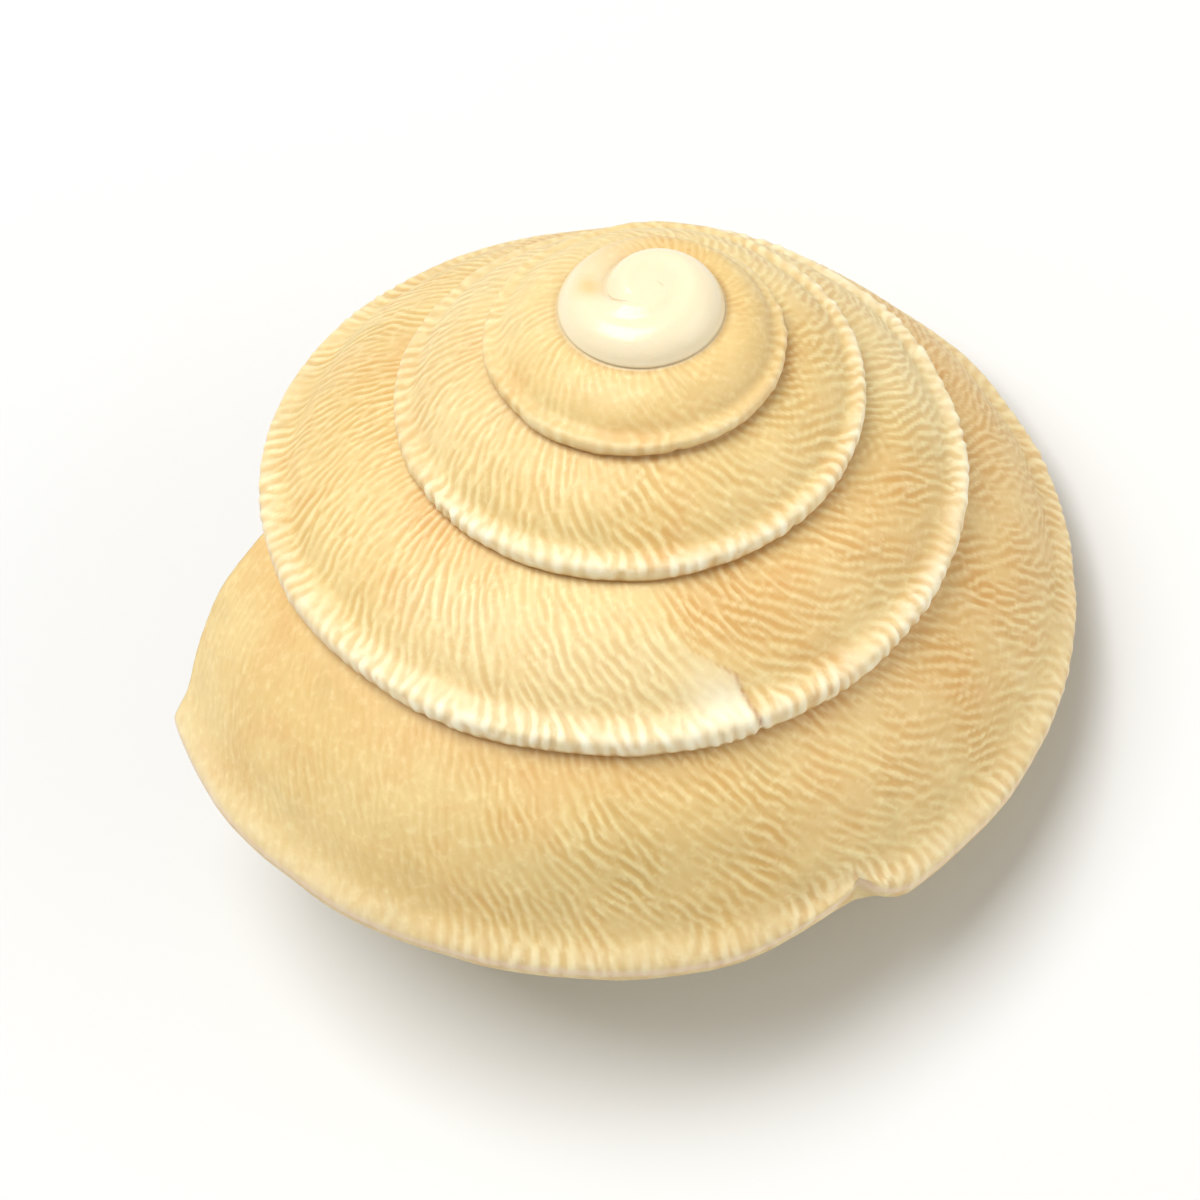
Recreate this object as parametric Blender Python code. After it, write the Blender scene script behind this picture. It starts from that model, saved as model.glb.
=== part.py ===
"""A keeled land snail shell, grown as one piece: a right-handed spiral of 5.5 whorls.

Every whorl ends in a sharp crenulated keel that overhangs the suture of the next one. The shell is
hollow from the mouth back to the young whorls. It lies on its base, as it rests on a table.

Growth is counted in whorls from the apex. A section is the outline of one whorl in the half plane
through the axis, as (radius, height) in millimetres, and the shell is a loft through its sections.
"""

import math

import bmesh
import bpy
from mathutils import Matrix, Vector

MM = 0.001

# The keel's path, at every half whorl from the apex (mm).
HALF_WHORL = 0.5
KEEL_RADIUS = (0.0, 1.01, 1.44, 2.03, 2.78, 3.59, 4.50, 5.47, 6.80, 8.46, 9.49, 10.85)
KEEL_HEIGHT = (0.30, 0.0, -0.18, -0.65, -1.08, -1.80, -2.56, -3.85, -4.85, -6.41, -8.70, -11.26)

# The mouth: where the lip meets the keel, and how much further on it meets the suture (whorls).
LIP = 5.455
LIP_SLANT = 0.03
SLANT_FROM = 0.5

# The first whorls are smooth and round. The keel starts where they end.
FIRST_SECTION = 0.12
SMOOTH_WHORLS = 1.45
FULL_KEEL = 2.2

# The keel (mm), and its corners, in keel thicknesses from its tip. Crest and beads are counted along
# the whorl's upper side and out of it, the corners below are counted outward and up.
KEEL_THICKNESS = 0.40
YOUNG_THICKNESS = 0.4
SUTURE_GROOVE = 0.07
KEEL_FOOT = 0.9
CREST = (-0.45, 0.42)
LOWER_EDGE = (-0.15, -0.70)
NEXT_SUTURE = (-0.85, -1.0)
BEAD = (0.08, 0.06)
WRINKLE = 0.05

# The rounding of a whorl's upper side, as a share of its width.
YOUNG_BULGE = 0.20
BULGE = 0.085
ROUND_WHORLS = 1.0
FLAT_WHORLS = 2.6

# The base, as a share of the keel's radius, and the top of the umbilicus (mm).
BASE_DEPTH = 0.30
UMBILICUS_ROOF = -6.6

# The wall (mm), the share of it that the apex has, and the whorl where the hollow ends.
WALL = 0.42
YOUNG_WALL = 0.3
HOLLOW_FROM = 2.3
# How far the hollow reaches into the keel, in wall thicknesses from the ends of its two sides.
HOLLOW_IN_KEEL = 0.6

# The facets (mm): one section each half bead along the keel, and fewer on the base and inside.
SECTION_STEP = 0.50
YOUNG_SECTIONS = 26
BASE_STEP = 1.3
HOLLOW_STEP = 1.5

# An old break in the body whorl's keel: where it is (whorls), how long each way, and how deep (mm).
BREAK_AT = 5.167
BREAK_BEFORE = 0.019
BREAK_AFTER = 0.060
BREAK_DEPTH = 0.70
# The shares of the break's depth that the keel's crest and the suture's line under it lost.
BREAK_AT_CREST = 0.75
BREAK_AT_SUTURE = 0.5

# The pose at rest on the base (degrees): the lean of the axis, the heading that it leans towards,
# and a turn about the vertical that brings the mouth to face +Y.
REST_LEAN = 20.4
REST_HEADING = 41.6
MOUTH_TURN = -16.0

# How much of the base and of the lip is rubbed flat where the shell rests on them (mm).
WORN_FLAT = 0.113

# The upper side from suture to keel: share of the way, and share of the whole bulge.
UPPER_SIDE = ((0.16, 0.52), (0.42, 1.0), (0.70, 0.72), (0.90, 0.12))
# The base from the keel to the umbilicus: share of the keel's radius, and share of the depth.
BASE_SIDE = ((0.90, 0.33), (0.80, 0.62), (0.66, 0.87), (0.47, 1.0), (0.29, 0.94), (0.16, 0.72), (0.075, 0.42))

# Where the crest and the corners under the keel stand on the lip, from the keel's tip at 0, when its
# control points are counted from the suture to the umbilicus, and the places of the umbilicus's roof
# and of the columella after the last of them.
LIP_CREST = -0.4
LIP_UNDER_KEEL = (0.2, 0.5)
LIP_ROOF = 1.5
LIP_END = 2.0


def ease(x, low, high):
    """0 below low, 1 above high, and smooth between them."""
    x = min(max((x - low) / (high - low), 0.0), 1.0)
    return x * x * (3.0 - 2.0 * x)


def along(values, x):
    """The smooth curve through values, which stand at 0, 1, 2 and so on."""
    i = min(max(int(x), 0), len(values) - 2)
    f = x - i
    b, c = values[i], values[i + 1]
    a = values[i - 1] if i > 0 else 2 * b - c
    d = values[i + 2] if i + 2 < len(values) else 2 * c - b
    return b + 0.5 * f * (c - a + f * (2 * a - 5 * b + 4 * c - d + f * (3 * (b - c) + d - a)))


def keel(t):
    """The keel's tip after t whorls, before any of it broke away."""
    t = max(t, 0.0) / HALF_WHORL
    return Vector((along(KEEL_RADIUS, t), along(KEEL_HEIGHT, t)))


def grown(t, young):
    """How far a measure has grown after t whorls: young at the apex, and 1 on the body whorl."""
    return young + (1.0 - young) * min(keel(t).x / KEEL_RADIUS[-2], 1.0)


def keel_size(t):
    full = KEEL_THICKNESS * grown(t, YOUNG_THICKNESS)
    return SUTURE_GROOVE + (full - SUTURE_GROOVE) * ease(t, SMOOTH_WHORLS, FULL_KEEL)


def suture(t):
    """The line under the keel where the next whorl joins."""
    return keel(t) + keel_size(t) * Vector(NEXT_SUTURE)


def slope(t):
    """The way down the whorl's upper side, from its suture to its keel, and the way out of it."""
    way = (keel(t) - suture(t - 1.0)).normalized()
    return way, Vector((-way.y, way.x))


def broken_away(t):
    """How far the keel stands back at its old break, up the whorl's side."""
    reach = BREAK_BEFORE if t < BREAK_AT else BREAK_AFTER
    depth = BREAK_DEPTH * max(1.0 - abs(t - BREAK_AT) / reach, 0.0) ** 2
    return -depth * slope(t)[0]


def keel_edge(t, bead=0.0):
    """The keel's crest and its tip. A bead stands out of both, a negative one stands back."""
    way, out = slope(t)
    size = keel_size(t)
    swell = bead * size * (BEAD[0] * way + BEAD[1] * out)
    crest = keel(t) + size * (CREST[0] * way + CREST[1] * out)
    return [crest + swell + BREAK_AT_CREST * broken_away(t), keel(t) + swell + broken_away(t)]


def under_keel(t):
    """The keel's lower edge and the suture that it overhangs."""
    lower = keel(t) + keel_size(t) * Vector(LOWER_EDGE)
    return [lower + broken_away(t), suture(t) + BREAK_AT_SUTURE * broken_away(t)]


def upper_side(t, inset=0.0):
    """The whorl's upper side, from the suture to the foot of its own keel."""
    way, out = slope(t)
    top = suture(t - 1.0)
    foot = keel(t) - KEEL_FOOT * keel_size(t) * way
    roundness = BULGE + (YOUNG_BULGE - BULGE) * (1.0 - ease(t, ROUND_WHORLS, FLAT_WHORLS))
    bulge = (foot - top).length * roundness
    return [top + share * (foot - top) + (rise * bulge - inset) * out for share, rise in UPPER_SIDE]


def base_side(t, inset=0.0):
    """The base, from the keel to the umbilicus."""
    tip = keel(t)
    depth = BASE_DEPTH * tip.x
    points = [Vector((tip.x * share, tip.y - depth * drop)) for share, drop in BASE_SIDE]
    if not inset:
        return points
    moved = []
    for before, point, after in zip([tip] + points, points, points[1:]):
        way = (after - before).normalized()
        moved.append(point + inset * Vector((way.y, -way.x)))
    return moved


def wall(t):
    return WALL * grown(t, YOUNG_WALL)


def slant(t):
    """How much further on than its keel a section meets the suture: the lip slants, young whorls don't."""
    return LIP_SLANT * ease(t, LIP - SLANT_FROM, LIP)


def leaning_upper_side(t, inset=0.0):
    """The upper side of a section that leans as the lip does, as (whorls, point) pairs."""
    return [(t + slant(t) * (1.0 - share), p) for (share, _), p in zip(UPPER_SIDE, upper_side(t, inset))]


def leaning_base_side(t, lean):
    """The base of a section that meets its keel further on than its umbilicus, as (whorls, point) pairs."""
    turns = [t + lean * (1.0 - number / (len(BASE_SIDE) - 1)) for number in range(len(BASE_SIDE))]
    return [(turn, base_side(turn)[number]) for number, turn in enumerate(turns)]


def stations(first, last, step):
    """Places from first to last, one step of the keel apart, and closer in the young whorls."""
    found = [first]
    while found[-1] < last:
        around = 2.0 * math.pi * max(keel(found[-1]).x, MM)
        found.append(found[-1] + min(step / around, 1.0 / YOUNG_SECTIONS))
    scale = (last - first) / (found[-1] - first)
    return [first + (t - first) * scale for t in found]


def place(point, t):
    """A section's point as a point of the shell: the spiral turns clockwise seen from above."""
    angle = -2.0 * math.pi * t
    return Vector((point.x * math.cos(angle), point.x * math.sin(angle), point.y))


class Shell:
    """The surface as it is lofted."""

    def __init__(self):
        self.mesh = bmesh.new()

    def row(self, points):
        """Adds (whorls, section point) pairs as vertices. Returns (whorls, vertex) pairs."""
        return [(t, self.mesh.verts.new(place(point, t))) for t, point in points]

    def face(self, *verts):
        verts = [v for i, v in enumerate(verts) if v is not verts[i - 1]]
        if len(verts) > 2:
            self.mesh.faces.new(verts)

    def join_rows(self, left, right):
        """Faces between two rows of the same number of vertices."""
        for (_, a), (_, b), (_, c), (_, d) in zip(left, left[1:], right[1:], right):
            self.face(a, b, c, d)

    def zip_rows(self, left, right):
        """Triangles between two rows of unlike numbers, each given as (place, vertex) pairs."""
        i = j = 0
        while i < len(left) - 1 or j < len(right) - 1:
            step_left = i < len(left) - 1 and (
                j == len(right) - 1 or left[i + 1][0] + left[i][0] <= right[j + 1][0] + right[j][0]
            )
            if step_left:
                self.face(left[i][1], left[i + 1][1], right[j][1])
                i += 1
            else:
                self.face(left[i][1], right[j + 1][1], right[j][1])
                j += 1


def counted(row, first=0):
    """A row's vertices, each with its number, so that rows of unlike numbers can be zipped."""
    return [(first + number, vert) for number, (_, vert) in enumerate(row)]


def grow_upper_side(shell, apex):
    """The spire and the body whorl from above. Returns the keel's vertices and the lip's row."""
    turns = stations(FIRST_SECTION, LIP + LIP_SLANT - 1.0, SECTION_STEP)
    turns += stations(turns[-1], LIP, SECTION_STEP)[1:]
    rows, sutures, keel_line = [], [], [(0.0, apex)]
    for index, t in enumerate(turns):
        ringed = ease(t, SMOOTH_WHORLS, FULL_KEEL)
        before = t + slant(t) - 1.0
        points = [(before + 1.0, p) for p in under_keel(before)] if t > 1.0 + FIRST_SECTION else []
        for number, (turn, point) in enumerate(leaning_upper_side(t)):
            ridge = WRINKLE * ringed * math.cos(math.pi * (index / 2.0 + number))
            points.append((turn, point + Vector((ridge, ridge))))
        bead = ringed if index % 2 else -ringed
        points += [(t, p) for p in keel_edge(t, bead)]
        row = shell.row(points)
        sutures.append((row[0][0] - 1.0, row[0][1]))
        keel_line.append((t, row[-1][1]))
        rows.append(row)
    shell.zip_rows([(t, vert) for t, vert in keel_line if t <= sutures[-1][0] + MM], sutures)
    for left, right in zip(rows, rows[1:]):
        if len(left) == len(right):
            shell.join_rows(left, right)
        else:
            shell.zip_rows(counted(left, len(right) - len(left)), counted(right))
    for (_, a), (_, b) in zip(rows[0], rows[0][1:]):
        shell.face(apex, a, b)
    return keel_line, rows[-1]


def grow_base(shell, keel_line, lip_row, roof):
    """The body whorl's base, from its keel to the umbilicus. Returns its first and its last row."""
    start = LIP - 1.0
    rows, edges = [], []
    for t in stations(start, LIP, BASE_STEP):
        lean = LIP_SLANT * (1.0 - ease(t, start, start + SLANT_FROM))
        edge = shell.row([(t + lean, p) for p in under_keel(t + lean)]) if rows else lip_row[:2]
        rows.append(edge + shell.row(leaning_base_side(t, lean)))
        edges.append((t + lean, edge[0][1]))
    shell.zip_rows([(t, vert) for t, vert in keel_line if t >= edges[0][0] - MM], edges)
    for left, right in zip(rows, rows[1:]):
        shell.join_rows(left, right)
        shell.face(roof, left[-1][1], right[-1][1])
    return rows[0], rows[-1]


def hollow_outline(t):
    """The hollow from the suture along the outer wall and the floor, as (whorls, point) pairs."""
    thick = wall(t)
    upper = leaning_upper_side(t, thick)
    floor = [(t, p) for p in base_side(t, thick)]
    corner = (upper[-1][1] + floor[0][1]) / 2.0 + Vector((HOLLOW_IN_KEEL * thick, 0.0))
    return upper + [(t, corner)] + floor


def hollow_out(shell, first_base):
    """The hollow, which follows the whorls back from the mouth. Returns its first loop."""
    loops = []
    for t in reversed(stations(HOLLOW_FROM, LIP, HOLLOW_STEP)):
        outer = shell.row(hollow_outline(t))
        parietal = shell.row(leaning_base_side(t - 1.0, slant(t))[:-1]) if loops else first_base[2:-1]
        loops.append(parietal[:1] + outer + parietal[:0:-1])
    for left, right in zip(loops, loops[1:]):
        shell.join_rows(left + left[:1], right + right[:1])
    last = loops[-1]
    middle = sum((vert.co for _, vert in last), Vector()) / len(last)
    end = shell.mesh.verts.new(middle)
    for (_, a), (_, b) in zip(last, last[1:] + last[:1]):
        shell.face(end, a, b)
    return loops[0]


def close_lip(shell, lip_row, first_base, last_base, first_loop, roof):
    """The rim of the mouth, between the outside and the hollow, whose edges meet point by point."""
    tip = len(UPPER_SIDE) + 1
    last = tip + len(BASE_SIDE)
    outside = [first_base[1]] + lip_row[2:] + last_base + [(LIP, roof), first_base[-1]]
    outer_places = list(range(tip)) + [tip + LIP_CREST, tip] + [tip + under for under in LIP_UNDER_KEEL]
    outer_places += list(range(tip + 1, last + 1)) + [last + LIP_ROOF, last + LIP_END]
    inner_places = list(range(last)) + [last + LIP_END]
    outer = [(number, vert) for number, (_, vert) in zip(outer_places, outside)]
    inner = [(number, vert) for number, (_, vert) in zip(inner_places, first_loop)]
    shell.zip_rows(outer, inner)


def grow_shell():
    shell = Shell()
    apex = shell.mesh.verts.new((0.0, 0.0, KEEL_HEIGHT[0]))
    roof = shell.mesh.verts.new((0.0, 0.0, UMBILICUS_ROOF))
    keel_line, lip_row = grow_upper_side(shell, apex)
    first_base, last_base = grow_base(shell, keel_line, lip_row, roof)
    first_loop = hollow_out(shell, first_base)
    close_lip(shell, lip_row, first_base, last_base, first_loop, roof)
    bmesh.ops.recalc_face_normals(shell.mesh, faces=shell.mesh.faces)
    return shell.mesh


def lay_down(mesh):
    """Leans the shell as it rests, scales it to metres and puts the middle of its foot at the origin."""
    heading = math.radians(REST_HEADING)
    hinge = Vector((-math.sin(heading), math.cos(heading), 0.0))
    lean = Matrix.Rotation(math.radians(REST_LEAN), 4, hinge)
    turn = Matrix.Rotation(math.radians(MOUTH_TURN), 4, "Z")
    bmesh.ops.transform(mesh, matrix=turn @ lean @ Matrix.Scale(MM, 4), verts=mesh.verts)
    ground = min(v.co.z for v in mesh.verts) + WORN_FLAT * MM
    for vert in mesh.verts:
        vert.co.z = max(vert.co.z, ground)
    low = Vector([min(v.co[axis] for v in mesh.verts) for axis in range(3)])
    high = Vector([max(v.co[axis] for v in mesh.verts) for axis in range(3)])
    foot = Vector(((low.x + high.x) / 2.0, (low.y + high.y) / 2.0, low.z))
    bmesh.ops.translate(mesh, vec=-foot, verts=mesh.verts)


def shell_material():
    material = bpy.data.materials.new("cream_shell")
    material.use_nodes = True
    shader = material.node_tree.nodes["Principled BSDF"]
    shader.inputs["Base Color"].default_value = (0.83, 0.66, 0.38, 1.0)
    shader.inputs["Roughness"].default_value = 0.45
    shader.inputs["Metallic"].default_value = 0.0
    return material


def main():
    for old in list(bpy.data.objects):
        bpy.data.objects.remove(old, do_unlink=True)
    collection = bpy.data.collections.new("land_snail_shell")
    bpy.context.scene.collection.children.link(collection)
    form = grow_shell()
    lay_down(form)
    mesh = bpy.data.meshes.new("shell")
    form.to_mesh(mesh)
    form.free()
    mesh.materials.append(shell_material())
    mesh.shade_smooth()
    mesh.set_sharp_from_angle(angle=math.radians(50.0))
    shell = bpy.data.objects.new("shell", mesh)
    collection.objects.link(shell)


main()
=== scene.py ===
"""The looks of a keeled land snail shell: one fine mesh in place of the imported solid, its finish,
the camera, the floor and the light.

Growth is counted in whorls from the apex, as in the solid. The surface follows the solid's outlines
with finer points, a plumper apex and a rounder shoulder at the lip, and its wrinkles, beads and
scars are moved points of the mesh.
Lengths are in millimetres until the shell is laid down in the frame.
"""

import math

import bmesh
import bpy
import numpy as np
from mathutils import Matrix, Vector


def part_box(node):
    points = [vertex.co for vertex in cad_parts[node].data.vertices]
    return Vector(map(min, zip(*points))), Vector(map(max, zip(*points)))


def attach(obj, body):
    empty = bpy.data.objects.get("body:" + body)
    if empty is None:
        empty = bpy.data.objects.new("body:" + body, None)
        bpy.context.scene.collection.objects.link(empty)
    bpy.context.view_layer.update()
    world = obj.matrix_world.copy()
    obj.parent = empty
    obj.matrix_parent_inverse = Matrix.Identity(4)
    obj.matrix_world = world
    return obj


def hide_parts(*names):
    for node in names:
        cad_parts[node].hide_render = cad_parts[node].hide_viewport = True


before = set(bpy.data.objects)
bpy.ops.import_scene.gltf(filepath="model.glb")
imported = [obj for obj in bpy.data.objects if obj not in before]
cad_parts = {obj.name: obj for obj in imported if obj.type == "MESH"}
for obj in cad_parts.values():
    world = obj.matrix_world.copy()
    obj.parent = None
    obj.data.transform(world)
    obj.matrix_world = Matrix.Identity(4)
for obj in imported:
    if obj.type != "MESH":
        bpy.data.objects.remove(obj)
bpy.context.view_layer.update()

MM = 0.001

# The shell's own measures (mm, whorls and degrees). They are the solid's, but for YOUNG_BULGE and
# ROUND_WHORLS, which make the first whorls plumper here.
HALF_WHORL = 0.5
KEEL_RADIUS = (0.0, 1.01, 1.44, 2.03, 2.78, 3.59, 4.50, 5.47, 6.80, 8.46, 9.49, 10.85)
KEEL_HEIGHT = (0.30, 0.0, -0.18, -0.65, -1.08, -1.80, -2.56, -3.85, -4.85, -6.41, -8.70, -11.26)
LIP = 5.455
LIP_SLANT = 0.03
SLANT_FROM = 0.5
FIRST_SECTION = 0.12
SMOOTH_WHORLS = 1.45
FULL_KEEL = 2.2
KEEL_THICKNESS = 0.40
YOUNG_THICKNESS = 0.4
SUTURE_GROOVE = 0.07
KEEL_FOOT = 0.9
CREST = (-0.45, 0.42)
LOWER_EDGE = (-0.15, -0.70)
NEXT_SUTURE = (-0.85, -1.0)
YOUNG_BULGE = 0.29
BULGE = 0.085
ROUND_WHORLS = 1.2
FLAT_WHORLS = 2.6
BASE_DEPTH = 0.30
UMBILICUS_ROOF = -6.6
WALL = 0.42
YOUNG_WALL = 0.3
HOLLOW_FROM = 2.3
HOLLOW_IN_KEEL = 0.6
BREAK_AT = 5.167
BREAK_BEFORE = 0.019
BREAK_AFTER = 0.060
BREAK_DEPTH = 0.70
BREAK_AT_CREST = 0.75
BREAK_AT_SUTURE = 0.5
REST_LEAN = 20.4
REST_HEADING = 41.6
MOUTH_TURN = -16.0
WORN_FLAT = 0.113
UPPER_SIDE = ((0.16, 0.52), (0.42, 1.0), (0.70, 0.72), (0.90, 0.12))
BASE_SIDE = ((0.90, 0.33), (0.80, 0.62), (0.66, 0.87), (0.47, 1.0), (0.29, 0.94), (0.16, 0.72), (0.075, 0.42))

# The fine mesh: how far apart its points are (mm).
STEP_ROUND = 0.083
STEP_ACROSS = 0.100
STEP_YOUNG = 0.065
STEP_BASE = 0.26
STEP_HOLLOW = 0.45
UNDER_COLUMNS = 4
LINE_STEPS = 12
PARIETAL_COLUMNS = 24
WALL_COLUMNS = 40
WELD = 0.002

# The width of the body whorl's upper side, for what has no width of its own (mm).
BODY_WIDTH = 4.5

# The shoulder behind the keel rises, and the keel's crest sinks, towards the lip. On the smooth
# first whorls the shoulder is rounder still.
LIP_FROM = 4.7
LIP_SHOULDER = 0.16
LIP_CREST_SINKS = 0.20
YOUNG_SHOULDER = 0.42

# The smooth dome of the first whorl, whose suture shows from SEAM_FROM on (mm and whorls).
DOME_WHORLS = 1.6
DOME_TOP = 0.38
DOME_FALL = 0.12
DOME_INNER = 0.35
DOME_OUTER = 0.85
SEAM_FROM = 0.50
SEAM_FADES = 0.14
SEAM_REACH = 0.50

# Parts of the surface.
UPPER, UNDER, BASE, HOLLOW = range(4)


def ease(x, low, high):
    """0 below low, 1 above high, and smooth between them."""
    x = np.clip((x - low) / (high - low), 0.0, 1.0)
    return x * x * (3.0 - 2.0 * x)


def along(values, x):
    """The smooth curve through values, which stand at 0, 1, 2 and so on."""
    values = np.array(values)
    i = np.clip(np.floor(x).astype(int), 0, len(values) - 2)
    f = x - i
    padded = np.concatenate([[2 * values[0] - values[1]], values, [2 * values[-1] - values[-2]]])
    a, b, c, d = (padded[i + n] for n in range(4))
    return b + 0.5 * f * (c - a + f * (2 * a - 5 * b + 4 * c - d + f * (3 * (b - c) + d - a)))


def pair(x, y):
    return np.stack([x, y], axis=-1)


def unit(v):
    return v / np.linalg.norm(v, axis=-1, keepdims=True)


def keel(t):
    """The keel's tip after t whorls, as (radius, height)."""
    halves = np.maximum(t, 0.0) / HALF_WHORL
    return pair(along(KEEL_RADIUS, halves), along(KEEL_HEIGHT, halves))


def grown(t, young):
    """How far a measure has grown after t whorls: young at the apex, and 1 on the body whorl."""
    return young + (1.0 - young) * np.minimum(keel(t)[..., 0] / KEEL_RADIUS[-2], 1.0)


def keel_size(t):
    full = KEEL_THICKNESS * grown(t, YOUNG_THICKNESS)
    return (SUTURE_GROOVE + (full - SUTURE_GROOVE) * ease(t, SMOOTH_WHORLS, FULL_KEEL))[..., None]


def suture(t):
    """The line under the keel where the next whorl joins."""
    return keel(t) + keel_size(t) * np.array(NEXT_SUTURE)


def slope(t):
    """The way down the whorl's upper side, from its suture to its keel, and the way out of it."""
    way = unit(keel(t) - suture(t - 1.0))
    return way, pair(-way[..., 1], way[..., 0])


def broken_away(t):
    """How far the keel stands back at its old break, up the whorl's side."""
    reach = np.where(t < BREAK_AT, BREAK_BEFORE, BREAK_AFTER)
    depth = BREAK_DEPTH * np.maximum(1.0 - np.abs(t - BREAK_AT) / reach, 0.0) ** 2
    return -depth[..., None] * slope(t)[0]


def upper_side(t, inset=0.0):
    """The whorl's upper side, from the suture to the foot of its own keel."""
    way, out = slope(t)
    top = suture(t - 1.0)
    foot = keel(t) - KEEL_FOOT * keel_size(t) * way
    roundness = BULGE + (YOUNG_BULGE - BULGE) * (1.0 - ease(t, ROUND_WHORLS, FLAT_WHORLS))
    bulge = np.linalg.norm(foot - top, axis=-1) * roundness
    shoulder = LIP_SHOULDER * ease(t, LIP_FROM, LIP) + YOUNG_SHOULDER * (1.0 - ease(t, 1.3, 2.1))
    points = []
    for share, rise in UPPER_SIDE:
        raised = rise + shoulder * float(ease(share, 0.5, 0.9))
        points.append(top + share * (foot - top) + (raised * bulge - inset)[..., None] * out)
    return points


def base_side(t, inset=0.0):
    """The base, from the keel to the umbilicus."""
    tip = keel(t)
    depth = BASE_DEPTH * tip[..., 0]
    points = [pair(tip[..., 0] * share, tip[..., 1] - depth * drop) for share, drop in BASE_SIDE]
    if np.ndim(inset) == 0 and not inset:
        return points
    moved = []
    for before, point, after in zip([tip] + points, points, points[1:]):
        way = unit(after - before)
        moved.append(point + np.asarray(inset)[..., None] * pair(way[..., 1], -way[..., 0]))
    return moved


def wall(t):
    """The wall's thickness: full behind the mouth, and thin at the lip itself."""
    return WALL * grown(t, YOUNG_WALL) * (1.0 - 0.45 * ease(t, LIP - 0.05, LIP))


def slant(t):
    """How much further on than its keel a section meets the suture, as the lip slants."""
    return LIP_SLANT * ease(t, LIP - SLANT_FROM, LIP)


def stations(first, last, step, young=None):
    """Places from first to last, one step of the keel apart, and no coarser than young near the apex."""
    found = [first]
    while found[-1] < last:
        circle = 2.0 * math.pi * max(float(keel(found[-1])[0]), 0.25)
        gap = min(step, young) if young and found[-1] < SMOOTH_WHORLS else step
        found.append(found[-1] + gap / circle)
    return first + (np.array(found) - first) * (last - first) / (found[-1] - first)


def knot(t, point):
    """A control point of an outline: (whorls, radius, height)."""
    whorls = np.broadcast_to(np.asarray(t)[..., None], point.shape[:-1] + (1,))
    return np.concatenate([whorls, point], axis=-1)


def smooth_line(knots):
    """A fine line through all knots but the first and the last, which only steer it.

    Each point is (whorls, radius, height, place), where place counts the knots passed.
    """
    knots = np.stack(knots, axis=-2)
    gaps = np.linalg.norm(np.diff(knots[..., 1:], axis=-2), axis=-1)[..., None] ** 0.5 + 1e-6
    slopes = np.diff(knots, axis=-2) / gaps
    before, after = gaps[..., :-1, :], gaps[..., 1:, :]
    tangents = (slopes[..., 1:, :] * before + slopes[..., :-1, :] * after) / (before + after)
    points = knots[..., 1:-1, :]
    lines = []
    for span in range(points.shape[-2] - 1):
        last = span == points.shape[-2] - 2
        f = np.linspace(0.0, 1.0, LINE_STEPS + 1)[: None if last else -1, None]
        start, end = points[..., span, None, :], points[..., span + 1, None, :]
        gap = gaps[..., span + 1, None, :]
        leave, arrive = tangents[..., span, None, :] * gap, tangents[..., span + 1, None, :] * gap
        line = (
            (2 * f**3 - 3 * f**2 + 1) * start + (f**3 - 2 * f**2 + f) * leave
            + (3 * f**2 - 2 * f**3) * end + (f**3 - f**2) * arrive
        )
        place = np.broadcast_to(span + f, line.shape[:-1] + (1,))
        lines.append(np.concatenate([line, place], axis=-1))
    return np.concatenate(lines, axis=-2)


def spread(line, shares):
    """Points of one fine line at shares of its length, and how far along it they are (mm)."""
    length = np.concatenate([[0.0], np.cumsum(np.linalg.norm(np.diff(line[:, 1:3], axis=0), axis=1))])
    places = shares * length[-1]
    return np.column_stack([np.interp(places, length, line[:, k]) for k in range(4)]), places


def beyond(a, b):
    """The point as far past b as a is before it."""
    return 2.0 * b - a


class Surface:
    """The surface as it is lofted: rows of points, and triangles between them."""

    def __init__(self):
        self.rows = []
        self.count = 0
        self.faces = []

    def row(self, part, points, across, width):
        """Adds points (whorls, radius, height, ...) and returns their numbers."""
        width = np.broadcast_to(width, len(points))
        part = np.full(len(points), float(part))
        self.rows.append(np.column_stack([points[:, :3], across, width, part]))
        self.count += len(points)
        return list(range(self.count - len(points), self.count))

    def face(self, *verts):
        if len(set(verts)) == 3:
            self.faces.append(verts)

    def zip_rows(self, left, right, left_places=None, right_places=None):
        """Triangles between two rows of points, whose places say which face each other."""
        left_places = np.linspace(0.0, 1.0, len(left)) if left_places is None else left_places
        right_places = np.linspace(0.0, 1.0, len(right)) if right_places is None else right_places
        i = j = 0
        while i < len(left) - 1 or j < len(right) - 1:
            step_left = i < len(left) - 1 and (
                j == len(right) - 1
                or left_places[i + 1] + left_places[i] <= right_places[j + 1] + right_places[j] + 1e-9
            )
            if step_left:
                self.face(left[i], left[i + 1], right[j])
                i += 1
            else:
                self.face(left[i], right[j + 1], right[j])
                j += 1


def keel_knots(t):
    """The knots round the keel: crest, tip, lower edge and suture of the next whorl."""
    way, out = slope(t)
    size, back = keel_size(t), broken_away(t)
    crest_out = (CREST[1] - LIP_CREST_SINKS * ease(t, LIP_FROM, LIP))[..., None]
    crest = keel(t) + size * (CREST[0] * way + crest_out * out)
    lower = keel(t) + size * np.array(LOWER_EDGE)
    return (
        knot(t, crest + BREAK_AT_CREST * back),
        knot(t, keel(t) + back),
        knot(t, lower + back),
        knot(t, suture(t) + BREAK_AT_SUTURE * back),
    )


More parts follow.
